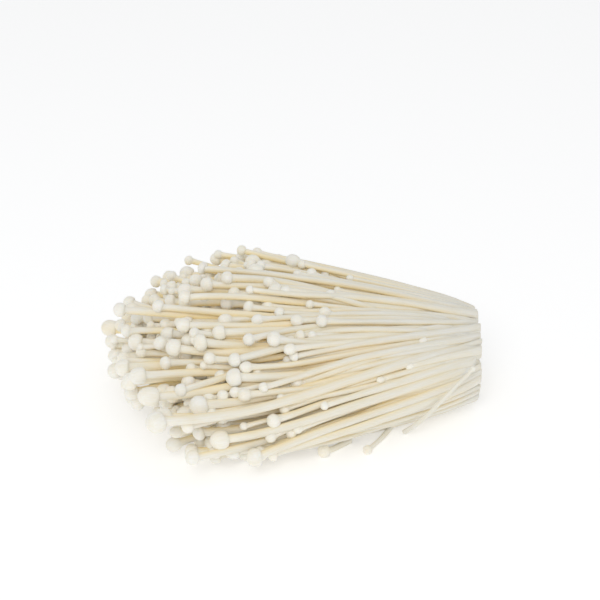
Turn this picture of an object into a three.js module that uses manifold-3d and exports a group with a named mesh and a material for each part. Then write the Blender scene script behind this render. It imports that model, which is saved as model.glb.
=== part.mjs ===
// A bunch of enoki mushrooms, trimmed at the foot and laid on its side.
// Millimetres, +Z up, resting on z = 0. The cut foot faces +X and the caps point towards -X.
//
// The bunch is a bundle of tufts: one in the heart and seven round it, each a node.
// The mushrooms of a tuft are fused at the foot, where they grew from one mat, and part towards the caps.
// They are placed by a seeded rule: the feet fill the cut face evenly, the stems fan out towards the caps,
// and a relaxation pushes crowded stems apart, so that no tuft runs through another.

import * as THREE from "three";
import { ConvexGeometry } from "three/addons/geometries/ConvexGeometry.js";
import { mergeVertices } from "three/addons/utils/BufferGeometryUtils.js";
import Module from "manifold-3d";

// The bunch as a whole
const LENGTH = 130; // from the cut face to the farthest caps
const SHORTER_OUTSIDE = 46; // how much shorter the outermost mushrooms are
const SHORTER_ABOVE = 15;
const SHORTER_BELOW = 6;
const CUT_FACE_X = 67;
const AXIS_Y = 4.45; // the fan reaches farther to the front, and the part is centred on its box

// Its section, half depth along Y and half height along Z, at the cut face and 80 mm from it
const SPAN = 80;
const BUTT_HALF_DEPTH = 19;
const BUTT_HALF_HEIGHT = 14;
const BUTT_MIDDLE_Z = 14.6;
const FRONT_FLARE = 33;
const BACK_FLARE = 27;
const HEIGHT_FLARE = 10.5;
const RISE = 8;
const DROOP = 7;
const SPREAD_ON_TABLE = 0.42; // the lower half widens as it lies
const FLARE_POWER = 0.72;
const FRONT_SAG = 6; // the front slumps on the table
const FRONT_TWIST = 0.55; // radians that its stems run down round the bunch from the cut face to SPAN

// The mushrooms
const SEED = 7;
const CROWD = 138; // placed by the rule, besides those in STANDOUTS; every third one is a small one
const RIM = 0.95; // the crowd's share of the section's radius
const INNER_RIM = 0.78; // within it, feet start inside the tuft's core
const OUTER_SIDES = 6;
const INNER_SIDES = 5;
const BEND_TOLERANCE = 0.62; // how far a straight length of stem may lie from its curve
const FUSING = 1.2; // the power by which a stem thins from its foot to its neck
const NECK_VARIES = 0.08;
const TALL = [0.85, 1.15]; // how tall a cap is for its width
const BELOW = -0.55; // the share of the section's height under which SHORTER_BELOW counts
const FRONT_BEFORE = -0.2; // low down in front, where the section's shares are below these two, caps are larger
const FRONT_UNDER = 0.2;
const FRONT_CAPS_LARGER = 0.3;
const LARGE = {
  shorter: [-5, 10],
  foot: [1.5, 1.75],
  neck: 0.85, // plus NECK_PER_CAP of the cap's radius
  cap: 2.3,
  capVaries: 1,
  capPower: 1.5, // makes the largest caps rare
};
const SMALL = {
  shorter: [2, 26],
  foot: [1.2, 1.4],
  neck: 0.6,
  cap: 1.6,
  capVaries: 0.7,
  capPower: 1,
};
const NECK_PER_CAP = 0.2;
const STANDOUT = { foot: [1.4, 1.6], neck: 0.5, neckPerCap: 0.28, sway: 0.6 };

// A cap's outline from the neck to its top: height for its tallness and radius, both as shares of its radius
const CAP_OUTLINE = [
  [-0.5, 0.72],
  [-0.1, 1],
  [0.45, 0.8],
  [0.85, 0],
];
const NECK_END = 0.55; // where the neck meets the cap, as a share of the cap's height
const NECK_RUN = 6; // the last stretch of stem, which gives the cap its direction

// How the stems wander: towards another place in the crowd, in long swings and in short ripples
const DRIFT = 0.13; // as a share of the section, at the caps
const DRIFT_POWER = 1.5;
const SWING_Y = 3;
const SWING_Z = 2.2;
const SWING_LENGTH = 110;
const SWING_FULL_AT = 60;
const SWING_POWER = 1.3;
const RIPPLE_Y = 1.5;
const RIPPLE_Z = 1;
const RIPPLE_LENGTH = 52;
const RIPPLE_FULL_AT = 40;

// The tufts
const HEART_RIM = 0.42;
const OUTER_TUFTS = 7;
const FUSED_LENGTH = 44; // over it, stems of one tuft part from overlapping to touching
const FUSED_SHARE = 0.74; // how close two fused stems lie, as a share of their radii
const CORE_LENGTH = 30; // the solid foot of each tuft
const CORE_HALFWAY = 0.92; // its section there, as a share of the one at the cut face
const CORE_END = 0.55;
const LYING_BELOW = 2.4; // stems whose middles lie lower press their core flat on the table
const PAST_CUT = 1; // feet start this far past the cut face, which trims them
const PRESSED_PAST = 0.5; // and pressed cores reach this far under the table
const TUFT_GAP = 0.9; // the relaxation's aim for stems of different tufts
const CUT_GAP = 0.42; // what is cut free where they still come nearer

// The relaxation works on slices across the bunch
const STEP = 5;
const SLICES = 29;
const ROUNDS = 70;
const PUSH = 0.35; // the share of an overlap that one round takes away
const PUSH_LIMIT = 0.9;
const STIFFNESS = 0.18; // how much a round straightens a stem
const HOMING = 0.03; // how much a round brings a stem back to its own line
const PRESSED = 0.9; // height of a lying stem's middle over the table, as a share of its radius

// The heart, then round it from the front, under the bunch, by the back and over the top
const TUFT_NAMES = [
  "tuft_heart",
  "tuft_front",
  "tuft_under_front",
  "tuft_under",
  "tuft_under_back",
  "tuft_back",
  "tuft_top",
  "tuft_top_front",
];

// Mushrooms that stand out of the crowd, placed by hand:
// length to the cap's widest ring, angle round the bunch in degrees (0 back, 90 top, 180 front),
// share of the section's radius, cap radius, and how tall the cap is for its width
const STANDOUTS = [
  [109, 160, 1.0, 3.7, 1.05],
  [112, 153, 0.84, 3.3, 1.35],
  [96, 159, 0.9, 3.4, 1.0],
  [116, 147, 0.74, 2.9, 1.2],
  [89, 181, 1.0, 3.2, 1.2],
  [78, 195, 1.0, 3.3, 0.9],
  [72, 202, 1.0, 2.6, 0.8],
  [105, 129, 0.8, 3.1, 1.0],
  [102, 116, 0.85, 2.7, 1.0],
  [124, 107, 0.7, 2.6, 1.0],
  [111, 107, 0.79, 2.3, 1.0],
  [102, 99, 0.9, 2.4, 1.0],
  [95, 90, 0.95, 2.5, 1.0],
  [97, 81, 1.0, 2.1, 0.7],
  [84, 56, 1.02, 1.9, 1.0],
  [62, 67, 1.04, 1.5, 1.1],
  [45, 72, 1.05, 1.2, 1.2],
  [80, 97, 1.0, 1.5, 1.0],
  [65, 136, 1.0, 1.8, 1.0],
  [75, 149, 1.0, 1.8, 1.0],
  [55, 174, 1.02, 1.5, 1.0],
  [36, 168, 1.02, 1.2, 1.5],
  [26, 163, 1.03, 1.1, 1.5],
  [21, 142, 1.02, 1.2, 1.6],
];

// What broke off and lies in front: points from the broken end to the cap,
// each as [distance from the cut face, y from the bunch's axis, z]
const LOOSE = {
  loose_stem: {
    foot: 0.75,
    neck: 0.65,
    cap: 0.85,
    points: [
      [27, -28.9, 0.8],
      [23.4, -31.6, 5.7],
      [19.2, -32.6, 11],
      [12.2, -30.8, 18.7],
      [4.1, -25.1, 24.5],
    ],
  },
  loose_mushroom: {
    foot: 1.1,
    neck: 0.85,
    cap: 1.7,
    points: [
      [31, -26, 1.3],
      [33.5, -30.5, 1.1],
      [36.5, -35, 1],
      [40, -40.4, 1.7],
    ],
  },
  loose_mushroom_short: {
    foot: 1.2,
    neck: 1,
    cap: 2.3,
    points: [
      [45.5, -34, 1.2],
      [48.5, -36.4, 1.1],
      [51.5, -39.2, 1.3],
      [54.8, -42, 2.3],
    ],
  },
};

const wasm = await Module();
wasm.setup();

// Random numbers that are the same on every run
const draw = {
  state: SEED,
  next() {
    this.state = (this.state * 1664525 + 1013904223) % 4294967296;
    return this.state / 4294967296;
  },
  between(low, high) {
    return low + (high - low) * this.next();
  },
};

// Half depth, middle height and half height of the bunch's section, s from the cut face
function section(s, front) {
  const share = s / SPAN;
  const flare = share ** FLARE_POWER;
  return {
    depth: BUTT_HALF_DEPTH + (front ? FRONT_FLARE : BACK_FLARE) * flare,
    middle: BUTT_MIDDLE_Z + RISE * share - DROOP * (s / LENGTH) ** 2,
    height: BUTT_HALF_HEIGHT + HEIGHT_FLARE * flare,
  };
}

// Where a mushroom would run if it were alone, s from the cut face
function rest(m, s) {
  const drift = m.drift * (s / LENGTH) ** DRIFT_POWER;
  const spread = Math.min(1, s / SPAN);
  const twist = FRONT_TWIST * Math.max(0, -m.p) * (1 - spread);
  const p = m.p * Math.cos(twist) + m.q * Math.sin(twist) + drift * Math.cos(m.turn);
  const q = m.q * Math.cos(twist) - m.p * Math.sin(twist) + drift * Math.sin(m.turn);
  const { depth, middle, height } = section(s, p < 0);
  const wide = 1 + SPREAD_ON_TABLE * Math.max(0, -q) * spread;
  const swing = (s / SWING_FULL_AT) ** SWING_POWER;
  const phase = m.phase + (m.waves * 2 * Math.PI * s) / SWING_LENGTH;
  const ripple = Math.min(1, s / RIPPLE_FULL_AT);
  const ripplePhase = 3 * m.phase + (2 * Math.PI * s) / RIPPLE_LENGTH;
  return {
    y:
      p * wide * depth +
      SWING_Y * swing * m.swayY * Math.sin(phase) +
      RIPPLE_Y * ripple * m.swayZ * Math.sin(ripplePhase),
    z:
      middle -
      FRONT_SAG * Math.max(0, -p) ** 2 * spread +
      q * height +
      SWING_Z * swing * m.swayZ * Math.cos(phase) +
      RIPPLE_Z * ripple * m.swayY * Math.cos(ripplePhase),
  };
}

function tuftOf(p, q) {
  if (Math.hypot(p, q) < HEART_RIM) return 0;
  const turn = (Math.atan2(q, p) + Math.PI) / (2 * Math.PI);
  return 1 + (Math.floor(turn * OUTER_TUFTS + 0.5) % OUTER_TUFTS);
}

function mushroom(p, q, length, cap, neck, foot, drift, sway) {
  return {
    p,
    q,
    length,
    cap,
    neck,
    foot,
    tuft: tuftOf(p, q),
    drift,
    turn: draw.between(0, 6.28),
    swayY: sway * draw.between(-1, 1),
    swayZ: sway * draw.between(-1, 1),
    phase: draw.between(0, 6.28),
    waves: draw.between(0.7, 1.5),
  };
}

function crowd() {
  const golden = Math.PI * (3 - Math.sqrt(5));
  const made = [];
  for (let i = 0; i < CROWD; i++) {
    const r = RIM * Math.sqrt((i + 0.5) / CROWD);
    const p = r * Math.cos(i * golden);
    const q = r * Math.sin(i * golden);
    const small = i % 3 === 2;
    const kind = small ? SMALL : LARGE;
    const shorter =
      SHORTER_OUTSIDE * r * r +
      SHORTER_ABOVE * Math.max(0, q) ** 2 +
      (q < BELOW ? SHORTER_BELOW : 0) +
      draw.between(...kind.shorter);
    const inFront = !small && p < FRONT_BEFORE && q < FRONT_UNDER;
    const cap =
      kind.cap + kind.capVaries * draw.next() ** kind.capPower + (inFront ? FRONT_CAPS_LARGER : 0);
    const neck = kind.neck + NECK_PER_CAP * cap + draw.between(-NECK_VARIES, NECK_VARIES);
    const foot = draw.between(...kind.foot);
    const m = mushroom(p, q, LENGTH - shorter, cap, neck, foot, DRIFT, 1);
    m.tall = draw.between(...TALL);
    const onRim = r > INNER_RIM;
    m.inSolid = onRim || i % 3 !== 1;
    m.sides = onRim ? OUTER_SIDES : INNER_SIDES;
    m.start = onRim ? -PAST_CUT : CORE_LENGTH / 3;
    made.push(m);
  }
  return made;
}

function standouts() {
  return STANDOUTS.map(([length, degrees, r, cap, tall]) => {
    const angle = THREE.MathUtils.degToRad(degrees);
    const p = r * Math.cos(angle);
    const q = r * Math.sin(angle);
    const foot = draw.between(...STANDOUT.foot);
    const neck = STANDOUT.neck + STANDOUT.neckPerCap * cap;
    const m = mushroom(p, q, length, cap, neck, foot, 0, STANDOUT.sway);
    m.tall = tall;
    m.inSolid = true;
    m.sides = OUTER_SIDES;
    m.start = -PAST_CUT;
    return m;
  });
}

function stemRadius(m, s) {
  const left = 1 - Math.min(s / m.length, 1);
  return m.neck + (m.foot - m.neck) * left ** FUSING;
}

// The radius that a mushroom takes up in a slice: its stem, its cap, or nothing past the cap
function reach(m, s) {
  if (s <= m.length - m.cap) return stemRadius(m, s);
  if (s >= m.length + m.cap) return 0;
  const share = (s - m.length) / m.cap;
  return Math.max(m.neck, m.cap * Math.sqrt(Math.max(0, 1 - share * share)));
}

// Gives each mushroom its path, one point per slice: m.y and m.z, with the radius it takes up in m.r
function relax(all) {
  for (const m of all) {
    m.y = [];
    m.z = [];
    m.r = [];
    for (let k = 0; k < SLICES; k++) {
      const at = rest(m, k * STEP);
      m.y.push(at.y);
      m.z.push(at.z);
      m.r.push(reach(m, k * STEP));
    }
    m.restY = [...m.y];
    m.restZ = [...m.z];
  }
  for (let round = 0; round < ROUNDS; round++) {
    for (let k = 0; k < SLICES; k++) pushApart(all, k);
    for (const m of all) straighten(m);
  }
}

function pushApart(all, k) {
  const here = all.filter((m) => m.r[k] > 0);
  const parting = Math.min(1, (k * STEP) / FUSED_LENGTH);
  const close = FUSED_SHARE + (1 - FUSED_SHARE) * parting;
  const moves = here.map(() => ({ y: 0, z: 0 }));
  for (let i = 0; i < here.length; i++) {
    for (let j = i + 1; j < here.length; j++) {
      const a = here[i];
      const b = here[j];
      const dy = a.y[k] - b.y[k];
      const dz = a.z[k] - b.z[k];
      const apart = Math.hypot(dy, dz) + 1e-9;
      const radii = a.r[k] + b.r[k];
      const want = a.tuft === b.tuft ? radii * close : radii + TUFT_GAP;
      if (want <= apart) continue;
      const push = ((want - apart) * PUSH) / apart;
      moves[i].y += push * dy;
      moves[i].z += push * dz;
      moves[j].y -= push * dy;
      moves[j].z -= push * dz;
    }
  }
  here.forEach((m, i) => {
    const far = Math.hypot(moves[i].y, moves[i].z) + 1e-9;
    const limit = Math.min(1, PUSH_LIMIT / far);
    m.y[k] += moves[i].y * limit;
    m.z[k] += moves[i].z * limit;
  });
}

// A stem is stiff, wants back to its own line, and can't sink into the table
function straighten(m) {
  const y = [...m.y];
  const z = [...m.z];
  for (let k = 0; k < SLICES; k++) {
    if (k > 0 && k < SLICES - 1) {
      m.y[k] += STIFFNESS * ((y[k - 1] + y[k + 1]) / 2 - y[k]);
      m.z[k] += STIFFNESS * ((z[k - 1] + z[k + 1]) / 2 - z[k]);
    }
    m.y[k] += HOMING * (m.restY[k] - m.y[k]);
    m.z[k] += HOMING * (m.restZ[k] - m.z[k]);
    m.z[k] = Math.max(m.z[k], PRESSED * m.r[k]);
  }
}

// A point on a mushroom's middle line; past the neck it runs on straight
function along(m, s) {
  const neck = m.length - m.cap;
  if (s > neck) {
    const end = along(m, neck);
    const before = along(m, neck - NECK_RUN);
    const dir = end.clone().sub(before).normalize();
    return end.addScaledVector(dir, s - neck);
  }
  const k = THREE.MathUtils.clamp(Math.floor(s / STEP), 0, SLICES - 2);
  const f = s / STEP - k; // below zero before the cut face, where the first length runs on
  return new THREE.Vector3(
    CUT_FACE_X - s,
    AXIS_Y + m.y[k] * (1 - f) + m.y[k + 1] * f,
    m.z[k] * (1 - f) + m.z[k + 1] * f,
  );
}

// Places along a stem where a straight length has to end to keep near the curve
function stations(point, start, end) {
  const places = [start];
  let last = start;
  for (let s = start + STEP; s < end; s += STEP) {
    const next = Math.min(s + STEP, end);
    const a = point(last);
    const chord = new THREE.Line3(a, point(next));
    let off = 0;
    for (let t = last + STEP / 2; t < next; t += STEP / 2) {
      const p = point(t);
      const near = chord.closestPointToPoint(p, true, new THREE.Vector3());
      off = Math.max(off, near.distanceTo(p));
    }
    if (off > BEND_TOLERANCE) {
      places.push(s);
      last = s;
    }
  }
  places.push(end);
  return places;
}

// Outline of a mushroom from its foot to the top of the cap: [distance along, radius] pairs
function profileOf(m, places) {
  const stem = places.map((s) => [s, stemRadius(m, s)]);
  const { length, cap, tall } = m;
  const top = CAP_OUTLINE.map(([height, share]) => [length + height * cap * tall, share * cap]);
  return [[places[0], 0], ...stem, ...top];
}

// A closed mesh turned from an outline and bent to a path, as a solid, or one that is wider all round
function bentLathe(profile, sides, point, wider = 0) {
  const outline = profile.map(([s, r]) => new THREE.Vector2(r > 0 ? r + wider : 0, s));
  outline[0].y -= wider;
  outline[outline.length - 1].y += wider;
  const lathe = new THREE.LatheGeometry(outline, sides);
  const position = lathe.attributes.position;
  const up = new THREE.Vector3(0, 0, 1);
  for (let i = 0; i < position.count; i++) {
    const s = position.getY(i);
    const centre = point(s);
    const tangent = point(s + 1).sub(point(s - 1)).normalize();
    const side = new THREE.Vector3().crossVectors(tangent, up).normalize();
    const above = new THREE.Vector3().crossVectors(side, tangent);
    centre.addScaledVector(side, position.getX(i));
    centre.addScaledVector(above, position.getZ(i));
    position.setXYZ(i, centre.x, centre.y, centre.z);
  }
  return solidOf(lathe);
}

// A closed three.js geometry as a solid, with the seam joined and the flat triangles at the poles dropped
function solidOf(geometry) {
  const bare = geometry.clone();
  bare.deleteAttribute("normal");
  bare.deleteAttribute("uv");
  const merged = mergeVertices(bare, 1e-4);
  const index = merged.index.array;
  const kept = [];
  for (let i = 0; i < index.length; i += 3) {
    const [a, b, c] = [index[i], index[i + 1], index[i + 2]];
    if (a !== b && b !== c && c !== a) kept.push(a, b, c);
  }
  const make = (triVerts) =>
    new wasm.Manifold(
      new wasm.Mesh({
        numProp: 3,
        vertProperties: merged.attributes.position.array,
        triVerts: new Uint32Array(triVerts),
      }),
    );
  const solid = make(kept);
  if (solid.volume() > 0) return solid;
  for (let i = 0; i < kept.length; i += 3) {
    [kept[i + 1], kept[i + 2]] = [kept[i + 2], kept[i + 1]];
  }
  return make(kept);
}

function mushroomSolid(m, wider = 0) {
  const point = (s) => along(m, s);
  const places = stations(point, m.start, m.length - NECK_END * m.cap * m.tall);
  return bentLathe(profileOf(m, places), m.sides, point, wider);
}

// The solid foot of a tuft: the hull of its stems' middle lines, which draws in so that they stand out of it,
// pressed flat where it lies on the table
function coreSolid(members, wider = 0) {
  const corners = [];
  for (const [s, share] of [
    [-PAST_CUT, 1],
    [CORE_LENGTH / 2, CORE_HALFWAY],
    [CORE_LENGTH, CORE_END],
  ]) {
    const ring = members.map((m) => along(m, s));
    const middle = new THREE.Vector3();
    for (const at of ring) middle.addScaledVector(at, 1 / ring.length);
    for (const at of ring) {
      at.lerp(middle, 1 - share);
      corners.push(...around(at, wider));
      if (at.z < LYING_BELOW) corners.push(...around(at.clone().setZ(-PRESSED_PAST), wider));
    }
  }
  return solidOf(new ConvexGeometry(corners));
}

// A point, or ten points round it: eight in the bunch's section, one before it and one past it
function around(at, radius) {
  if (radius === 0) return [at];
  const ring = Array.from({ length: 8 }, (_, i) => {
    const turn = (i * Math.PI) / 4;
    return new THREE.Vector3(0, Math.cos(turn), Math.sin(turn));
  });
  return [...ring, new THREE.Vector3(1, 0, 0), new THREE.Vector3(-1, 0, 0)].map((way) =>
    at.clone().addScaledVector(way, radius),
  );
}

// Cuts a solid back from each piece of a neighbour that comes nearer than the gap between meshes
function clearOf(solid, members) {
  const pieces = members.filter((m) => m.inSolid).map((m) => mushroomSolid(m, CUT_GAP));
  for (const piece of [coreSolid(members, CUT_GAP), ...pieces]) {
    if (solid.intersect(piece).volume() > 0) solid = solid.subtract(piece);
  }
  return solid;
}

function biggest(solid) {
  const bodies = solid.decompose();
  return bodies.sort((a, b) => b.volume() - a.volume())[0];
}

const flesh = new THREE.MeshStandardMaterial({
  color: 0xf3ecd6,
  roughness: 0.55,
  metalness: 0,
});

function meshOf(name, solid) {
  const { numProp, vertProperties, triVerts } = solid.getMesh();
  const geometry = new THREE.BufferGeometry();
  geometry.setAttribute(
    "position",
    new THREE.BufferAttribute(new Float32Array(vertProperties), numProp),
  );
  geometry.setIndex(new THREE.BufferAttribute(new Uint32Array(triVerts), 1));
  geometry.computeVertexNormals();
  const mesh = new THREE.Mesh(geometry, flesh);
  mesh.name = name;
  return mesh;
}

const table = solidOf(new THREE.BoxGeometry(400, 400, 20).translate(0, 0, -10));
const trimmings = solidOf(new THREE.BoxGeometry(20, 400, 400).translate(CUT_FACE_X + 10, 0, 0));

const bunch = new THREE.Group();
const mushrooms = [...crowd(), ...standouts()];
relax(mushrooms);

TUFT_NAMES.forEach((name, tuft) => {
  const members = mushrooms.filter((m) => m.tuft === tuft);
  const built = members.filter((m) => m.inSolid).map((m) => mushroomSolid(m));
  let solid = wasm.Manifold.union([coreSolid(members), ...built]);
  for (let earlier = 0; earlier < tuft; earlier++) {
    solid = clearOf(solid, mushrooms.filter((m) => m.tuft === earlier));
  }
  bunch.add(meshOf(name, biggest(solid.subtract(table).subtract(trimmings))));
});

for (const [name, { foot, neck, cap, points }] of Object.entries(LOOSE)) {
  const curve = new THREE.CatmullRomCurve3(
    points.map(([s, y, z]) => new THREE.Vector3(CUT_FACE_X - s, AXIS_Y + y, z)),
    false,
    "centripetal",
  );
  const length = curve.getLength();
  const m = { length, cap, neck, foot, tall: 1 };
  const point = (s) => {
    if (s <= length && s >= 0) return curve.getPointAt(s / length);
    const end = s > length ? 1 : 0;
    const beyond = s > length ? s - length : s;
    return curve.getPointAt(end).addScaledVector(curve.getTangentAt(end), beyond);
  };
  const places = stations(point, 0, length - NECK_END * cap);
  const solid = bentLathe(profileOf(m, places), OUTER_SIDES, point);
  bunch.add(meshOf(name, biggest(solid.subtract(table))));
}

export default bunch;
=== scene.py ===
import math

import bmesh
import bpy
import numpy as np
from mathutils import Matrix, Vector


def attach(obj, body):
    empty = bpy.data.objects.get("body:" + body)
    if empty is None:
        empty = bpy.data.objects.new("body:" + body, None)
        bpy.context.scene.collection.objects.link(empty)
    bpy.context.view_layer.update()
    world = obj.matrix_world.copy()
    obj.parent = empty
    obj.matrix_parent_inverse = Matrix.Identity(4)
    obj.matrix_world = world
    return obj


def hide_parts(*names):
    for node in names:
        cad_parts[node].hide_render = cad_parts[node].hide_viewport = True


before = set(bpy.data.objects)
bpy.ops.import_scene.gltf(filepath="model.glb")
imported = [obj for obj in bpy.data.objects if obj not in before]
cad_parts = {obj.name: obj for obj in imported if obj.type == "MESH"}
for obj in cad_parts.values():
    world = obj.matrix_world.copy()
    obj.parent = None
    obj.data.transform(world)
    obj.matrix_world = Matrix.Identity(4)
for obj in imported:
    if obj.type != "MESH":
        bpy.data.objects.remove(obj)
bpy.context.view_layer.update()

# A bunch of enoki mushrooms lying on its side: the cut foot at +X, the caps at -X, the table at z = 0.
# The bunch is laid out in millimetres, and every mesh is written in metres.
MM = 0.001

# The bunch as a whole
LENGTH = 130.0
SHORTER_OUTSIDE = 46.0
SHORTER_ABOVE = 15.0
SHORTER_BELOW = 6.0
CUT_FACE_X = 67.0
AXIS_Y = 4.45

# Its section at the cut face and 80 mm from it
SPAN = 80.0
BUTT_HALF_DEPTH = 19.0
BUTT_HALF_HEIGHT = 14.0
BUTT_MIDDLE_Z = 14.6
FRONT_FLARE = 33.0
BACK_FLARE = 27.0
HEIGHT_FLARE = 10.5
RISE = 8.0
DROOP = 7.0
SPREAD_ON_TABLE = 0.42
FLARE_POWER = 0.72
FRONT_SAG = 6.0
FRONT_TWIST = 0.55

# The mushrooms; caps, necks and feet are radii, and pairs are the ends that a value is drawn between
SEED = 7
CROWD = 138  # placed by the rule, besides those in STANDOUTS; every third one is a small one
RIM = 0.95  # the crowd's share of the section's radius
GOLDEN = math.pi * (3 - math.sqrt(5))
ANY_TURN = (0, 6.28)
FUSING = 1.2  # the power by which a stem thins from its foot to its neck
NECK_RUN = 6.0  # the last stretch of stem, which gives the cap its direction
NECK_VARIES = 0.08
NECK_PER_CAP = 0.2
TALL = (0.85, 1.15)  # how tall a cap is for its width
BELOW = -0.55  # the share of the section's height under which SHORTER_BELOW counts
FRONT_BEFORE = -0.2  # low down in front, where the section's shares are below these two, caps are larger
FRONT_UNDER = 0.2
FRONT_CAPS_LARGER = 0.3
LARGE = {
    "shorter": (-5, 10),
    "foot": (1.5, 1.75),
    "neck": 0.85,  # plus NECK_PER_CAP of the cap
    "cap": 2.3,
    "cap_varies": 1.0,
    "cap_power": 1.5,  # makes the largest caps rare
}
SMALL = {
    "shorter": (2, 26),
    "foot": (1.2, 1.4),
    "neck": 0.6,
    "cap": 1.6,
    "cap_varies": 0.7,
    "cap_power": 1.0,
}
STANDOUT = {"foot": (1.4, 1.6), "neck": 0.5, "neck_per_cap": 0.28, "sway": 0.6}

# The thin mushrooms between them
FILLERS = 440
FILLERS_RIM = 0.97
FILLERS_POWER = 0.48  # under a half, so that they grow denser towards the outside, where they show
FILLERS_TURN = 1.1
FILLERS_SHORTER_BELOW = 14.0
FILLER = {
    "shorter": (-2, 30),
    "foot": (0.9, 1.3),
    "neck": 0.35,
    "neck_per_cap": 0.3,
    "cap": (1.4, 2.8),
    "tall": (0.85, 1.25),
}

# How the stems wander: towards another place in the crowd, in long swings and in short ripples
DRIFT = 0.13
DRIFT_POWER = 1.5
SWING_Y = 3.0
SWING_Z = 2.2
SWING_LENGTH = 110.0
SWING_FULL_AT = 60.0
SWING_POWER = 1.3
SWING_WAVES = (0.7, 1.5)
RIPPLE_Y = 1.5
RIPPLE_Z = 1.0
RIPPLE_LENGTH = 52.0
RIPPLE_FULL_AT = 40.0

# The tufts, and how crowded stems are pushed apart in slices across the bunch
HEART_RIM = 0.42
OUTER_TUFTS = 7
FUSED_LENGTH = 44.0  # over it, stems of one tuft part from overlapping to touching
FUSED_SHARE = 0.74  # how close two fused stems lie, as a share of their radii
TUFT_GAP = 0.9  # the aim for stems of different tufts
STEP = 5.0
SLICES = 29
ROUNDS = 70
PUSH = 0.35  # the share of an overlap that one round takes away
PUSH_LIMIT = 0.9
STIFFNESS = 0.18  # how much a round straightens a stem
HOMING = 0.03  # how much a round brings a stem back to its own line
PRESSED = 0.9  # height of a lying stem's middle over the table, as a share of its radius
NEVER_ZERO = 1e-9

TUFTS = (
    "tuft_heart",
    "tuft_front",
    "tuft_under_front",
    "tuft_under",
    "tuft_under_back",
    "tuft_back",
    "tuft_top",
    "tuft_top_front",
)

# Length, angle round the bunch (0 back, 90 top, 180 front), share of the radius, cap radius, cap height,
# and how crumpled the cap is
STANDOUTS = (
    (109, 160, 1.0, 3.7, 1.05, 0),
    (112, 153, 0.84, 3.3, 1.35, 0),
    (96, 159, 0.9, 3.4, 1.0, 0),
    (116, 147, 0.74, 2.9, 1.2, 0),
    (89, 181, 1.0, 3.2, 1.2, 0),
    (78, 195, 1.0, 3.3, 0.9, 0.16),
    (72, 202, 1.0, 2.6, 0.8, 0.3),
    (105, 129, 0.8, 3.1, 1.0, 0),
    (102, 116, 0.85, 2.7, 1.0, 0),
    (124, 107, 0.7, 2.6, 1.0, 0),
    (111, 107, 0.79, 2.3, 1.0, 0),
    (102, 99, 0.9, 2.4, 1.0, 0),
    (95, 90, 0.95, 2.5, 1.0, 0),
    (97, 81, 1.0, 2.1, 0.7, 0.1),
    (84, 56, 1.02, 1.9, 1.0, 0),
    (62, 67, 1.04, 1.5, 1.1, 0),
    (45, 72, 1.05, 1.2, 1.2, 0),
    (80, 97, 1.0, 1.5, 1.0, 0),
    (65, 136, 1.0, 1.8, 1.0, 0),
    (75, 149, 1.0, 1.8, 1.0, 0),
    (55, 174, 1.02, 1.5, 1.0, 0),
    (36, 168, 1.02, 1.2, 1.5, 0),
    (26, 163, 1.03, 1.1, 1.5, 0),
    (21, 142, 1.02, 1.2, 1.6, 0),
)

# What broke off: foot, neck and cap radii, and points (from the cut face, y from the axis, z)
LOOSE = {
    "loose_stem": (0.75, 0.65, 0.85, (
        (27, -28.9, 0.8), (23.4, -31.6, 5.7), (19.2, -32.6, 11), (12.2, -30.8, 18.7), (4.1, -25.1, 24.5))),
    "loose_mushroom": (1.1, 0.85, 1.7, (
        (31, -26, 1.3), (33.5, -30.5, 1.1), (36.5, -35, 1), (40, -40.4, 1.7))),
    "loose_mushroom_short": (1.2, 1.0, 2.3, (
        (45.5, -34, 1.2), (48.5, -36.4, 1.1), (51.5, -39.2, 1.3), (54.8, -42, 2.3))),
}


class Draw:
    """Random numbers that are the same on every run."""

    def __init__(self, seed):
        self.state = seed

    def next(self):
        self.state = (self.state * 1664525 + 1013904223) % 4294967296
        return self.state / 4294967296

    def between(self, low, high):
        return low + (high - low) * self.next()


draw = Draw(SEED)


# Where the mushrooms run

def section(s, front):
    share = s / SPAN
    flare = share ** FLARE_POWER
    return (
        BUTT_HALF_DEPTH + (FRONT_FLARE if front else BACK_FLARE) * flare,
        BUTT_MIDDLE_Z + RISE * share - DROOP * (s / LENGTH) ** 2,
        BUTT_HALF_HEIGHT + HEIGHT_FLARE * flare,
    )


def rest(m, s):
    """The line that a mushroom would take if it were alone: (y, z), s from the cut face."""
    drift = m["drift"] * (s / LENGTH) ** DRIFT_POWER
    spread = min(1, s / SPAN)
    twist = FRONT_TWIST * max(0, -m["p"]) * (1 - spread)
    p = m["p"] * math.cos(twist) + m["q"] * math.sin(twist) + drift * math.cos(m["turn"])
    q = m["q"] * math.cos(twist) - m["p"] * math.sin(twist) + drift * math.sin(m["turn"])
    depth, middle, height = section(s, p < 0)
    wide = 1 + SPREAD_ON_TABLE * max(0, -q) * spread
    swing = (s / SWING_FULL_AT) ** SWING_POWER
    phase = m["phase"] + m["waves"] * 2 * math.pi * s / SWING_LENGTH
    ripple = min(1, s / RIPPLE_FULL_AT)
    ripple_phase = 3 * m["phase"] + 2 * math.pi * s / RIPPLE_LENGTH
    y = p * wide * depth + SWING_Y * swing * m["sway_y"] * math.sin(phase)
    y += RIPPLE_Y * ripple * m["sway_z"] * math.sin(ripple_phase)
    z = middle - FRONT_SAG * max(0, -p) ** 2 * spread + q * height
    z += SWING_Z * swing * m["sway_z"] * math.cos(phase)
    z += RIPPLE_Z * ripple * m["sway_y"] * math.cos(ripple_phase)
    return y, z


def tuft_of(p, q):
    if math.hypot(p, q) < HEART_RIM:
        return 0
    turn = (math.atan2(q, p) + math.pi) / (2 * math.pi)
    return 1 + math.floor(turn * OUTER_TUFTS + 0.5) % OUTER_TUFTS


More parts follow.
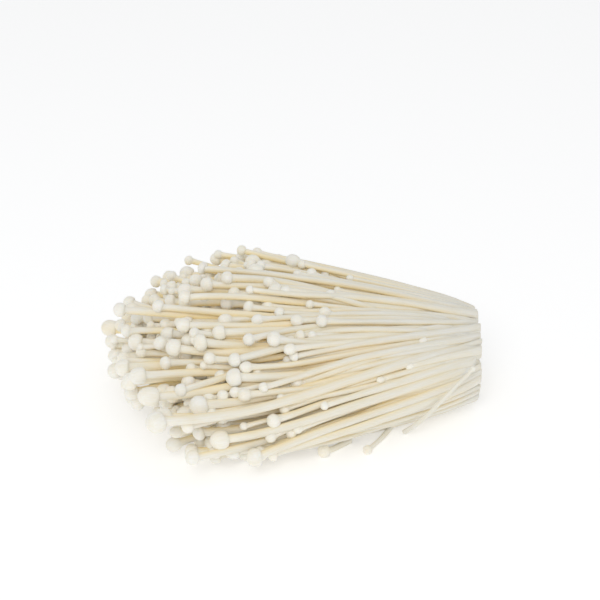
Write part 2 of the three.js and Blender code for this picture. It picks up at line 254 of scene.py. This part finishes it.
def mushroom(p, q, length, cap, neck, foot, drift, sway):
    return {
        "p": p, "q": q, "length": length, "cap": cap, "neck": neck, "foot": foot, "tuft": tuft_of(p, q),
        "drift": drift, "turn": draw.between(*ANY_TURN),
        "sway_y": sway * draw.between(-1, 1), "sway_z": sway * draw.between(-1, 1),
        "phase": draw.between(*ANY_TURN), "waves": draw.between(*SWING_WAVES),
    }


def crowd():
    made = []
    for i in range(CROWD):
        r = RIM * math.sqrt((i + 0.5) / CROWD)
        p, q = r * math.cos(i * GOLDEN), r * math.sin(i * GOLDEN)
        small = i % 3 == 2
        kind = SMALL if small else LARGE
        shorter = SHORTER_OUTSIDE * r * r + SHORTER_ABOVE * max(0, q) ** 2
        shorter += SHORTER_BELOW if q < BELOW else 0
        shorter += draw.between(*kind["shorter"])
        low_in_front = not small and p < FRONT_BEFORE and q < FRONT_UNDER
        cap = kind["cap"] + kind["cap_varies"] * draw.next() ** kind["cap_power"]
        cap += FRONT_CAPS_LARGER if low_in_front else 0
        neck = kind["neck"] + NECK_PER_CAP * cap + draw.between(-NECK_VARIES, NECK_VARIES)
        foot = draw.between(*kind["foot"])
        m = mushroom(p, q, LENGTH - shorter, cap, neck, foot, DRIFT, 1)
        m["tall"] = draw.between(*TALL)
        made.append(m)
    return made


def standouts():
    made = []
    for length, degrees, r, cap, tall, crumple in STANDOUTS:
        angle = math.radians(degrees)
        foot = draw.between(*STANDOUT["foot"])
        neck = STANDOUT["neck"] + STANDOUT["neck_per_cap"] * cap
        p, q = r * math.cos(angle), r * math.sin(angle)
        m = mushroom(p, q, length, cap, neck, foot, 0, STANDOUT["sway"])
        m["tall"], m["crumple"] = tall, crumple
        made.append(m)
    return made


def fillers():
    """Thin mushrooms in the gaps of the crowd, which the CAD solids leave out."""
    made = []
    for i in range(FILLERS):
        r = FILLERS_RIM * ((i + 0.5) / FILLERS) ** FILLERS_POWER
        angle = i * GOLDEN + FILLERS_TURN
        q = r * math.sin(angle)
        shorter = SHORTER_OUTSIDE * r * r + SHORTER_ABOVE * max(0, q) ** 2
        shorter += draw.between(*FILLER["shorter"])
        shorter += FILLERS_SHORTER_BELOW * max(0, -q)
        cap = draw.between(*FILLER["cap"])
        foot = draw.between(*FILLER["foot"])
        neck = FILLER["neck"] + FILLER["neck_per_cap"] * cap
        m = mushroom(r * math.cos(angle), q, LENGTH - shorter, cap, neck, foot, DRIFT, 1)
        m["tall"] = draw.between(*FILLER["tall"])
        made.append(m)
    return made


def stem_radius(m, s):
    left = 1 - min(max(s, 0) / m["length"], 1)
    return m["neck"] + (m["foot"] - m["neck"]) * left ** FUSING


def reach(m, s):
    """The radius that a mushroom takes up in a slice: its stem, its cap, or nothing past the cap."""
    if s <= m["length"] - m["cap"]:
        return stem_radius(m, s)
    if s >= m["length"] + m["cap"]:
        return 0.0
    share = (s - m["length"]) / m["cap"]
    return max(m["neck"], m["cap"] * math.sqrt(max(0, 1 - share * share)))


def relax(movers, still=(), gap=TUFT_GAP):
    """Gives each mover its path, one point per slice, with crowded stems pushed apart."""
    slices = [k * STEP for k in range(SLICES)]
    everyone = [*movers, *still]
    count = len(movers)
    line = np.array([[rest(m, s) for s in slices] for m in movers] + [m["line"] for m in still])
    radius = np.array([[reach(m, s) for s in slices] for m in everyone])
    tuft = np.array([m["tuft"] for m in everyone])
    alone = line.copy()
    for _ in range(ROUNDS):
        for k in range(SLICES):
            here = np.nonzero(radius[:, k] > 0)[0]
            moving = here[here < count]
            away = line[moving, None, k] - line[None, here, k]
            apart = np.hypot(away[..., 0], away[..., 1]) + NEVER_ZERO
            parting = min(1, k * STEP / FUSED_LENGTH)
            close = FUSED_SHARE + (1 - FUSED_SHARE) * parting
            radii = radius[moving, None, k] + radius[None, here, k]
            same = tuft[moving, None] == tuft[None, here]
            want = np.where(same, radii * close, radii + gap)
            push = np.clip(want - apart, 0, None) * PUSH / apart
            move = (push[..., None] * away).sum(1)
            far = np.hypot(move[:, 0], move[:, 1]) + NEVER_ZERO
            line[moving, k] += move * np.minimum(1, PUSH_LIMIT / far)[:, None]
        before = line[:count].copy()
        straight = (before[:, :-2] + before[:, 2:]) / 2
        line[:count, 1:-1] += STIFFNESS * (straight - before[:, 1:-1])
        line[:count] += HOMING * (alone[:count] - line[:count])
        line[:count, :, 1] = np.maximum(line[:count, :, 1], PRESSED * radius[:count])
    for m, points in zip(movers, line):
        m["line"] = points


def smooth_between(points, place):
    """A point on the soft curve through evenly spaced points; place counts in points."""
    last = len(points) - 1
    k = int(min(max(math.floor(place), 0), last - 1))
    f = place - k
    a, b, c, d = (points[min(max(k + j, 0), last)] for j in (-1, 0, 1, 2))
    if f < 0 or f > 1:
        return b + (c - b) * f
    bend = 2 * a - 5 * b + 4 * c - d
    turn = 3 * b - a - 3 * c + d
    return 0.5 * (2 * b + (c - a) * f + bend * f * f + turn * f ** 3)


def along(m, s):
    """A point on a mushroom's middle line, in millimetres; past the neck it runs on straight."""
    neck = m["length"] - m["cap"]
    if s > neck:
        end, before = along(m, neck), along(m, neck - NECK_RUN)
        return end + (end - before).normalized() * (s - neck)
    y, z = smooth_between(m["line"], s / STEP)
    return Vector((CUT_FACE_X - s, AXIS_Y + y, z))


# Mushroom meshes

SIDES, STEM_RINGS = 8, 11
THIN_SIDES, THIN_STEM_RINGS = 5, 6
FOOT_OUTLINE = ((0.0, 0.0), (0.0, 0.8), (0.002, 1.0))  # shares of the stem's length and of its radius
CAP_BASE = 3.0  # what the template adds to the heights on the cap
UNDERSIDE = -0.3
# The cap's outline, height in cap radii: below UNDERSIDE the second number goes from the neck's radius
# to the cap's, and above it is a share of the cap's radius
CAP_OUTLINE = (
    (-0.70, 0.08),
    (-0.66, 0.50),
    (-0.46, 0.88),
    (-0.08, 1.0),
    (0.38, 0.94),
    (0.72, 0.64),
    (0.88, 0.26),
    (0.92, 0.0),
)
THIN_CAP_OUTLINE = ((-0.64, 0.40), (-0.30, 0.95), (0.35, 0.95), (0.80, 0.50), (0.92, 0.0))
MERGED_WITHIN = 1e-5


def mushroom_template(sides, stem_rings, cap_outline):
    """One mushroom, spun from its outline, and a factor for its radii.

    Its z runs from 0 at the foot to 1 at the neck, and lies round CAP_BASE on the cap. The factor makes up
    for what the subdivision takes off a ring's radius.
    """
    rounded = 3 / (2 + math.cos(2 * math.pi / sides))
    bm = bmesh.new()
    outline = list(FOOT_OUTLINE)
    outline += [(k / stem_rings, 1.0) for k in range(1, stem_rings + 1)]
    outline += [(CAP_BASE + height, share) for height, share in cap_outline]
    points = [bm.verts.new((share, 0, z)) for z, share in outline]
    edges = [bm.edges.new(pair) for pair in zip(points, points[1:])]
    bmesh.ops.spin(bm, geom=points + edges, axis=(0, 0, 1), cent=(0, 0, 0),
                   angle=2 * math.pi, steps=sides, use_merge=True)
    bmesh.ops.remove_doubles(bm, verts=bm.verts, dist=MERGED_WITHIN)
    bmesh.ops.recalc_face_normals(bm, faces=bm.faces)
    # The directions that grow() lays it along are left-handed, which turns the faces round again
    bmesh.ops.reverse_faces(bm, faces=bm.faces)
    mesh = bpy.data.meshes.new("mushroom_template")
    bm.to_mesh(mesh)
    bm.free()
    return mesh, rounded


DIRECTION_OVER = 0.8  # the path's direction is taken over this stretch on either side


def frame_at(path, s):
    """A point of the path, with the directions along it, to its side and over it."""
    ahead = (path(s + DIRECTION_OVER) - path(s - DIRECTION_OVER)).normalized()
    side = ahead.cross(Vector((0, 0, 1))).normalized()
    return path(s), ahead, side, side.cross(ahead)


# How each mushroom is uneven in its own way
NECK_END = 0.66  # how far under the cap's middle its stem ends, as the outline's heights in cap radii
CAP_TILT = 0.25  # radians
CAP_OVAL = 0.04
CAP_THREE_SIDED = 0.025
CRUMPLE_TWIST = 4.0  # how far the phase of a crumpled cap's folds shifts over a cap radius of height
RIBBON = (0.15, 0.85)  # how flat a stem is at its foot
RIBBON_TURN = 0.5  # radians that its flat side may be turned from facing out of the bunch
RIBBON_LENGTH = 60.0  # where it is round again, apart from RIBBON_LEFT
RIBBON_LEFT = 0.06
GROOVES = 0.05
GROOVES_TWIST = 0.02
SWELL, SWELL_RATE = 0.04, 0.19
SHORT_SWELL, SHORT_SWELL_RATE = 0.02, 0.47

# The warm ochre mark inside the bunch, partly the inner stems' own yellower tone and partly painted light
# and shade in the gaps and on inward sides, and where its grain lies
CUT_RAGGED = 3.0  # how far short of the cut face a foot may end
CUT_FACE_DEEP_SHARE = 0.12  # the cut face's share of the inside's warm ochre, which is partly own tone and partly painted light and shade
PALE_FOOT = 10.0  # how far from the cut face the inside has all of it
INWARD_OCHRE_AND_SHADE = 0.3  # the side of a stem that faces into the bunch is as warm as one this deep: partly its own yellower tone, partly painted shade for the side turned from the light
CAP_INWARD = 0.3  # a cap has this share of it
STEM_MARK = 0.999  # the mark along a stem ends short of 1, where the cap's begins
GRAIN_SHIFT = 50.0
SMALLEST_RADIUS = 0.01


def depth_in_bunch(point):
    """0 on the outside of the bunch and 1 in its heart, and the direction outwards."""
    s = CUT_FACE_X - point.x
    y = point.y - AXIS_Y
    depth, middle, height = section(max(s, 0), y < 0)
    out = Vector((0, y / depth, (point.z - middle) / height))
    return 1 - min(1, out.length), out.normalized()


def mark_layers(bm):
    """The layers that the flesh material reads: along, tint, deep and grain."""
    single = bm.verts.layers.float
    return single["along"], single["tint"], single["deep"], bm.verts.layers.float_vector["grain"]


def grow(bm, template, m, path, look, start=0.0):
    """Adds one mushroom to a mesh: the template's rings laid along the path."""
    along_layer, tint_layer, deep_layer, grain_layer = mark_layers(bm)
    mesh, rounded = template
    first = len(bm.verts)
    bm.from_mesh(mesh)
    bm.verts.ensure_lookup_table()
    length, cap, tall = m["length"], m["cap"], m["tall"]
    neck_at = length - NECK_END * cap * tall
    tilt_x = look.between(-CAP_TILT, CAP_TILT)
    tilt_y = look.between(-CAP_TILT, CAP_TILT)
    tilt = Matrix.Rotation(tilt_x, 3, "X") @ Matrix.Rotation(tilt_y, 3, "Y")
    radial = math.atan2(m.get("q", 0), m.get("p", 1)) + look.between(-RIBBON_TURN, RIBBON_TURN)
    ribbon = look.between(*RIBBON)
    lobes = [look.between(*ANY_TURN) for _ in range(4)]
    tint = look.next()
    grain_offset = Vector([look.between(-GRAIN_SHIFT, GRAIN_SHIFT) for _ in range(3)])
    crumple = m.get("crumple", 0)
    cut = CUT_FACE_X - CUT_RAGGED * look.next() ** 2
    cap_from, cap_to = CAP_OUTLINE[0][0], CAP_OUTLINE[-1][0]
    frames = {}
    for vert in bm.verts[first:]:
        x, y, z = vert.co
        share = math.hypot(x, y)
        around = math.atan2(y, x) if share > 0 else 0.0
        on_cap = z > CAP_BASE / 2
        if on_cap:
            height = z - CAP_BASE
            s = length + height * cap * tall
            radius = m["neck"] + (cap - m["neck"]) * share if height < UNDERSIDE else cap * share
            wavy = 1 + CAP_OVAL * math.sin(2 * around + lobes[0])
            wavy += CAP_THREE_SIDED * math.sin(3 * around + lobes[1])
            twisted = 5 * around + CRUMPLE_TWIST * height + lobes[3]
            wavy += crumple * (math.sin(3 * around + lobes[2]) + math.sin(twisted)) / 2
            radius *= wavy * rounded
            place = length
        else:
            s = start + (neck_at - start) * z
            place = s
            flat = ribbon * max(0, 1 - s / RIBBON_LENGTH) + RIBBON_LEFT
            turned = around - radial
            oval = 1 - flat / 2 * math.cos(2 * turned)
            groove = 1 + GROOVES * math.sin(3 * around + lobes[1] + GROOVES_TWIST * s)
            swell = 1 + SWELL * math.sin(SWELL_RATE * s + lobes[2])
            swell += SHORT_SWELL * math.sin(SHORT_SWELL_RATE * s + lobes[0])
            radius = stem_radius(m, s) * share * oval * groove * swell * rounded
        if place not in frames:
            frames[place] = frame_at(path, place)
        centre, ahead, side, over = frames[place]
        if on_cap:
            spot = tilt @ Vector((radius * math.cos(around), radius * math.sin(around), s - length))
            vert.co = centre + side * spot.x + over * spot.y + ahead * spot.z
        else:
            vert.co = centre + (side * math.cos(around) + over * math.sin(around)) * radius
        vert[along_layer] = 1 + (height - cap_from) / (cap_to - cap_from) if on_cap else z * STEM_MARK
        vert[tint_layer] = tint
        # Depth in the bunch and the inward side make the deep mark, which the material turns into warm
        # ochre: partly the inner stems' own tone, partly painted light and shade in the gaps
        depth, outwards = depth_in_bunch(centre)
        facing = (vert.co - centre).dot(outwards) / max(radius, SMALLEST_RADIUS)
        inward = INWARD_OCHRE_AND_SHADE * (1 - max(-1, min(1, facing))) / 2 if "tuft" in m else 0
        pale = CUT_FACE_DEEP_SHARE + (1 - CUT_FACE_DEEP_SHARE) * min(1, max(0, s) / PALE_FOOT)
        vert[deep_layer] = CAP_INWARD * inward if on_cap else pale * (inward + depth * (1 - z ** 3))
        vert[grain_layer] = Vector((radius * math.cos(around), radius * math.sin(around), s)) + grain_offset
        vert.co.x = min(vert.co.x, cut)
        vert.co.z = max(vert.co.z, 0.0)
        vert.co *= MM


# From the cut face: place, share of the tuft's section, and how far it lies outside its lines
MAT_RINGS = ((2.0, 1.0, 0.95), (12.0, 0.97, 0.85), (24.0, 0.86, 0.5), (38.0, 0.6, 0.2))
# The mat's deep mark at its far end, for the warm ochre that is partly painted light and shade in the gaps
MAT_END_DEEP = 0.2
MAT_ALONG = 0.02
MAT_TINT = 0.5
LYING_BELOW = 2.4  # a hull point that lies lower presses the mat flat on the table


def foot_mat(bm, members):
    """Adds the mat that a tuft's feet grow from: a hull round them that draws in along the bunch."""
    hull = bmesh.new()
    for s, share, wider in MAT_RINGS:
        ring = [along(m, s) for m in members]
        middle = sum(ring, Vector()) / len(ring)
        for at in ring:
            out = at - middle
            spot = middle + out * share + out.normalized() * wider
            hull.verts.new((spot.x * MM, spot.y * MM, max(spot.z, 0) * MM))
            if spot.z < LYING_BELOW:
                hull.verts.new((spot.x * MM, spot.y * MM, 0))
    made = bmesh.ops.convex_hull(hull, input=hull.verts)
    inside = {item for key in ("geom_interior", "geom_unused") for item in made[key]}
    loose = [vert for vert in hull.verts if vert in inside]
    bmesh.ops.delete(hull, geom=loose, context="VERTS")
    bmesh.ops.recalc_face_normals(hull, faces=hull.faces)
    mesh = bpy.data.meshes.new("foot_mat")
    hull.to_mesh(mesh)
    hull.free()
    first = len(bm.verts)
    bm.from_mesh(mesh)
    bpy.data.meshes.remove(mesh)
    bm.verts.ensure_lookup_table()
    along_layer, tint_layer, deep_layer, grain_layer = mark_layers(bm)
    for vert in bm.verts[first:]:
        at = vert.co / MM
        vert[along_layer] = MAT_ALONG
        vert[tint_layer] = MAT_TINT
        # The deep mark here brings in the warm ochre: partly the flesh's own tone, partly painted light and
        # shade in the gaps
        vert[deep_layer] = MAT_END_DEEP * (CUT_FACE_X - at.x) / MAT_RINGS[-1][0]
        vert[grain_layer] = Vector((at.y, at.z, at.x))


def fresh_mesh():
    bm = bmesh.new()
    for name in ("along", "tint", "deep"):
        bm.verts.layers.float.new(name)
    bm.verts.layers.float_vector.new("grain")
    return bm


def piece(name, bm, node, material):
    """Makes a mesh a piece that stands for its node."""
    mesh = bpy.data.meshes.new(name)
    bm.to_mesh(mesh)
    bm.free()
    mesh.shade_smooth()
    mesh.materials.append(material)
    made = bpy.data.objects.new(name, mesh)
    bpy.context.collection.objects.link(made)
    rounding = made.modifiers.new("rounding", "SUBSURF")
    rounding.levels = rounding.render_levels = 1
    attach(made, "root")
    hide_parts(node)


# Materials

FOOT_CREAM = (0.80, 0.785, 0.73, 1)
STEM_CREAM = (0.81, 0.80, 0.745, 1)
NECK_CREAM = (0.84, 0.815, 0.725, 1)
CAP_WHITE = (0.94, 0.93, 0.885, 1)
CAP_CENTRE = (0.93, 0.915, 0.86, 1)
# The warm ochre that the deep mark brings in: partly the inner stems' own yellower tone, partly painted
# light, a glow in the gaps that stands in for light through the flesh
OCHRE_AND_PAINTED_GAP_LIGHT = (1.0, 0.77, 0.35, 1)
DEEP_SHARE = 0.9
FIBRE_STRAW = (0.93, 0.90, 0.81, 1)
BLOTCH_STRAW = (0.97, 0.94, 0.86, 1)
WARM_TINT = (1, 0.97, 0.895, 1)
MIDDLE_TINT = (1, 0.985, 0.95, 1)
COOL_TINT = (0.96, 0.96, 0.95, 1)
BLACK = (0, 0, 0, 1)
WHITE = (1, 1, 1, 1)


def flesh_material():
    """Cream flesh, whose tones follow the marks on the mushrooms; the deep mark brings in a warm ochre that
    is partly the inner stems' own tone and partly painted light and shade in the gaps.
    """
    material = bpy.data.materials.new("enoki_flesh")
    material.use_nodes = True
    nodes, links = material.node_tree.nodes, material.node_tree.links
    shader = nodes["Principled BSDF"]

    def attribute(name, output="Fac"):
        node = nodes.new("ShaderNodeAttribute")
        node.attribute_name = name
        return node.outputs[output]

    grain = attribute("grain", "Vector")

    def noise(scale, detail=3.0, stretch=1.0):
        """Noise in the straightened mushroom's millimetres, drawn out along it."""
        mapping = nodes.new("ShaderNodeMapping")
        mapping.inputs["Scale"].default_value = (1, 1, stretch)
        links.new(grain, mapping.inputs["Vector"])
        node = nodes.new("ShaderNodeTexNoise")
        node.inputs["Scale"].default_value = scale
        node.inputs["Detail"].default_value = detail
        links.new(mapping.outputs["Vector"], node.inputs["Vector"])
        return node.outputs["Fac"]

    def ramp(value, *stops):
        node = nodes.new("ShaderNodeValToRGB")
        node.color_ramp.elements[0].position, node.color_ramp.elements[0].color = stops[0]
        node.color_ramp.elements[1].position, node.color_ramp.elements[1].color = stops[-1]
        for position, color in stops[1:-1]:
            node.color_ramp.elements.new(position).color = color
        links.new(value, node.inputs["Fac"])
        return node.outputs["Color"]

    def mix(share, a, b, blend="MIX"):
        node = nodes.new("ShaderNodeMix")
        node.data_type = "RGBA"
        node.blend_type = blend
        for socket, value in ((node.inputs[0], share), (node.inputs[6], a), (node.inputs[7], b)):
            if isinstance(value, bpy.types.NodeSocket):
                links.new(value, socket)
            else:
                socket.default_value = value
        return node.outputs[2]

    def times(value, factor):
        node = nodes.new("ShaderNodeMath")
        node.operation = "MULTIPLY"
        node.inputs[1].default_value = factor
        links.new(value, node.inputs[0])
        return node.outputs[0]

    whole_length = times(attribute("along"), 0.5)  # the stem's marks run to 1 and the cap's to 2
    base = ramp(whole_length, (0.0, FOOT_CREAM), (0.12, STEM_CREAM), (0.46, NECK_CREAM), (0.54, CAP_WHITE),
                (0.88, CAP_WHITE), (1.0, CAP_CENTRE))
    fibres = ramp(noise(2.2, stretch=0.06), (0.35, FIBRE_STRAW), (0.65, WHITE))
    base = mix(0.7, base, fibres, "MULTIPLY")
    tint = ramp(attribute("tint"), (0.0, WARM_TINT), (0.5, MIDDLE_TINT), (1.0, COOL_TINT))
    base = mix(0.9, base, tint, "MULTIPLY")
    blotches = ramp(noise(0.35, stretch=0.4), (0.42, WHITE), (0.75, BLOTCH_STRAW))
    base = mix(0.8, base, blotches, "MULTIPLY")
    # Painted light and shade: the deep mark mixes the warm ochre into the gaps and the inward sides, partly
    # the inner stems' own tone
    depth = ramp(attribute("deep"), (0.04, BLACK), (0.26, WHITE))
    base = mix(times(depth, DEEP_SHARE), base, OCHRE_AND_PAINTED_GAP_LIGHT)
    links.new(base, shader.inputs["Base Color"])
    rough = nodes.new("ShaderNodeMapRange")
    rough.inputs["To Min"].default_value = 0.34
    rough.inputs["To Max"].default_value = 0.56
    links.new(noise(0.9, stretch=0.3), rough.inputs["Value"])
    links.new(rough.outputs["Result"], shader.inputs["Roughness"])
    shader.inputs["Subsurface Weight"].default_value = 0.25
    shader.inputs["Subsurface Radius"].default_value = (1.0, 0.85, 0.65)
    shader.inputs["Subsurface Scale"].default_value = 0.5 * MM
    shader.inputs["Specular IOR Level"].default_value = 0.25
    bump = nodes.new("ShaderNodeBump")
    bump.inputs["Strength"].default_value = 0.4
    bump.inputs["Distance"].default_value = 0.1 * MM
    links.new(noise(2.6, stretch=0.05), bump.inputs["Height"])
    links.new(bump.outputs["Normal"], shader.inputs["Normal"])
    return material


# Building

LOOK_SEED = 2027
PAST_CUT = 1.0  # feet start this far past the cut face, which trims them


def build_tufts(flesh):
    """Makes the tufts, and returns what the loose pieces go on with."""
    everyone = crowd() + standouts()
    relax(everyone)
    thin = fillers()
    relax(thin, everyone, gap=0)
    template = mushroom_template(SIDES, STEM_RINGS, CAP_OUTLINE)
    thin_template = mushroom_template(THIN_SIDES, THIN_STEM_RINGS, THIN_CAP_OUTLINE)
    look = Draw(LOOK_SEED)
    for index, node in enumerate(TUFTS):
        bm = fresh_mesh()
        foot_mat(bm, [m for m in everyone if m["tuft"] == index])
        for members, shape in ((everyone, template), (thin, thin_template)):
            for m in members:
                if m["tuft"] == index:
                    grow(bm, shape, m, lambda s, m=m: along(m, s), look, start=-PAST_CUT)
        piece("enoki_" + node, bm, node, flesh)
    return template, look


def build_loose(flesh, template, look):
    for node, (foot, neck, cap, points) in LOOSE.items():
        curve = [Vector((CUT_FACE_X - s, AXIS_Y + y, z)) for s, y, z in points]
        lengths = [(b - a).length for a, b in zip(curve, curve[1:])]
        total = sum(lengths)
        m = {"length": total, "cap": cap, "neck": neck, "foot": foot, "tall": 1.0}

        def path(s, curve=curve, total=total):
            return smooth_between(curve, s / total * (len(curve) - 1))

        bm = fresh_mesh()
        grow(bm, template, m, path, look)
        piece("enoki_" + node, bm, node, flesh)


# Camera and studio, in metres

AIM_FROM_CUT = 65.5 * MM
AIM_HEIGHT = 20.0 * MM
CAMERA_ELEVATION = 32
CAMERA_DISTANCE = 0.515
LENS = 87
SENSOR = 36
SHIFT = (0.0133, 0.068)
LIGHTS_AIM = (0, 0, 0.02)
FLOOR_REACH = 3
FLOOR_GLOW = 0.26  # lifts the paper to a clear white
STUDIO_TONE = (0.99, 1, 1.01, 1)
STUDIO_STRENGTH = 0.57
GAMMA = 1.3  # lightens the gaps between the stems, as light in the flesh would


def look_from(target, azimuth, elevation, distance):
    """A place at a distance from the target, and the rotation that looks at it."""
    a, e = math.radians(azimuth), math.radians(elevation)
    back = Vector((math.sin(a) * math.cos(e), -math.cos(a) * math.cos(e), math.sin(e)))
    return Vector(target) + back * distance, (-back).to_track_quat("-Z", "Y").to_euler()


def make_camera():
    data = bpy.data.cameras.new("camera")
    data.lens = LENS
    data.sensor_width = SENSOR
    data.shift_x, data.shift_y = SHIFT
    data.clip_start, data.clip_end = 0.01, 10
    camera = bpy.data.objects.new("camera", data)
    target = (CUT_FACE_X * MM - AIM_FROM_CUT, AXIS_Y * MM, AIM_HEIGHT)
    camera.location, camera.rotation_euler = look_from(target, 0, CAMERA_ELEVATION, CAMERA_DISTANCE)
    bpy.context.collection.objects.link(camera)
    bpy.context.scene.camera = camera


def make_light(name, azimuth, elevation, distance, size, watts):
    data = bpy.data.lights.new(name, "AREA")
    data.shape = "DISK"
    data.size = size
    data.energy = watts
    light = bpy.data.objects.new(name, data)
    light.location, light.rotation_euler = look_from(LIGHTS_AIM, azimuth, elevation, distance)
    bpy.context.collection.objects.link(light)


def make_studio():
    bm = bmesh.new()
    bmesh.ops.create_grid(bm, x_segments=1, y_segments=1, size=FLOOR_REACH)
    mesh = bpy.data.meshes.new("floor")
    bm.to_mesh(mesh)
    bm.free()
    floor = bpy.data.objects.new("floor", mesh)
    bpy.context.collection.objects.link(floor)
    paper = bpy.data.materials.new("pale_paper")
    paper.use_nodes = True
    shader = paper.node_tree.nodes["Principled BSDF"]
    shader.inputs["Base Color"].default_value = (0.97, 0.97, 0.97, 1)
    shader.inputs["Roughness"].default_value = 0.9
    shader.inputs["Emission Color"].default_value = WHITE
    shader.inputs["Emission Strength"].default_value = FLOOR_GLOW
    mesh.materials.append(paper)
    world = bpy.data.worlds.new("studio")
    bpy.context.scene.world = world
    world.use_nodes = True
    background = world.node_tree.nodes["Background"]
    background.inputs["Color"].default_value = STUDIO_TONE
    background.inputs["Strength"].default_value = STUDIO_STRENGTH
    make_light("key", azimuth=-12, elevation=42, distance=1.0, size=0.5, watts=2.6)
    make_light("top", azimuth=20, elevation=80, distance=1.1, size=0.9, watts=0.8)
    view = bpy.context.scene.view_settings
    view.view_transform = "Standard"
    view.gamma = GAMMA


make_camera()
enoki_flesh = flesh_material()
template_mesh, look_draw = build_tufts(enoki_flesh)
build_loose(enoki_flesh, template_mesh, look_draw)
make_studio()
